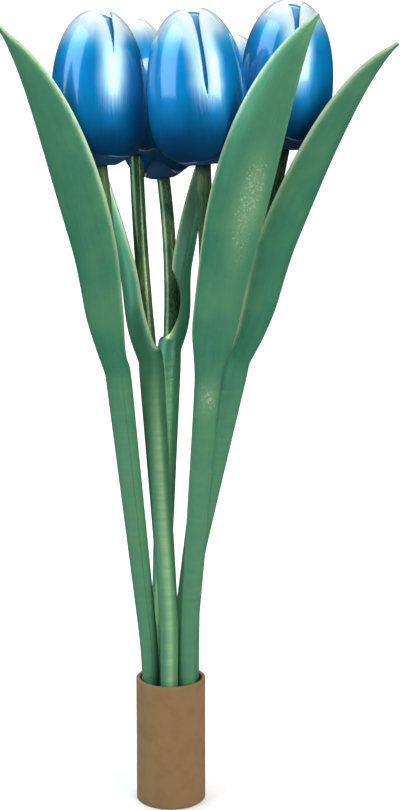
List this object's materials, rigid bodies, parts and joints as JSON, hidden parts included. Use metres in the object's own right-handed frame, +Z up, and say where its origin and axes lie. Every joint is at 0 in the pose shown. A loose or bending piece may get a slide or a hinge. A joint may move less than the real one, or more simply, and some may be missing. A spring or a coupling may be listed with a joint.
{
  "type": "bunch of wooden tulips",
  "caption": "Carved and painted wooden tulips, each a solid head on a thin stem set into a long gutter-shaped leaf, standing together in a short open cardboard tube.",
  "frame": {"origin": "centre of the cardboard tube's lower end, on the surface that the bunch stands on", "axes": "+Z up along the tube's axis, -Y towards the front view of the bunch, +X to that view's right"},
  "size_m": [0.1612, 0.147, 0.3592],
  "materials": {
    "cardboard": "matt kraft brown, lighter paper edge at the rim",
    "petal_paint": "painted pearl blue under gloss lacquer, silver tips, dark blue underside",
    "stem_paint": "painted dark green, satin",
    "leaf_paint": "painted metallic sea-green with lighter yellow-green margins, satin"
  },
  "bodies": {
    "tube": {"cardboard_tube": "cardboard"},
    "front_left_tulip": {"front_left_head": "petal_paint", "front_left_stem": "stem_paint", "front_left_leaf": "leaf_paint"},
    "back_left_tulip": {"back_left_head": "petal_paint", "back_left_stem": "stem_paint", "back_left_leaf": "leaf_paint"},
    "back_middle_tulip": {"back_middle_head": "petal_paint", "back_middle_stem": "stem_paint", "back_middle_leaf": "leaf_paint"},
    "front_middle_tulip": {"front_middle_head": "petal_paint", "front_middle_stem": "stem_paint", "front_middle_leaf": "leaf_paint"},
    "front_right_tulip": {"front_right_head": "petal_paint", "front_right_stem": "stem_paint", "front_right_leaf": "leaf_paint"},
    "back_right_tulip": {"back_right_head": "petal_paint", "back_right_stem": "stem_paint", "back_right_leaf": "leaf_paint"}
  },
  "joints": [
    {"name": "front_left_lift", "type": "slide", "parent": "tube", "child": "front_left_tulip", "axis": [0, 0, 1], "range_m": [0, 0.02]},
    {"name": "back_left_lift", "type": "slide", "parent": "tube", "child": "back_left_tulip", "axis": [0, 0, 1], "range_m": [0, 0.06]},
    {"name": "back_middle_lift", "type": "slide", "parent": "tube", "child": "back_middle_tulip", "axis": [0, 0, 1], "range_m": [0, 0.06]},
    {"name": "front_middle_lift", "type": "slide", "parent": "tube", "child": "front_middle_tulip", "axis": [0, 0, 1], "range_m": [0, 0.06]},
    {"name": "front_right_lift", "type": "slide", "parent": "tube", "child": "front_right_tulip", "axis": [0, 0, 1], "range_m": [0, 0.06]},
    {"name": "back_right_lift", "type": "slide", "parent": "tube", "child": "back_right_tulip", "axis": [0, 0, 1], "range_m": [0, 0.06]}
  ]
}
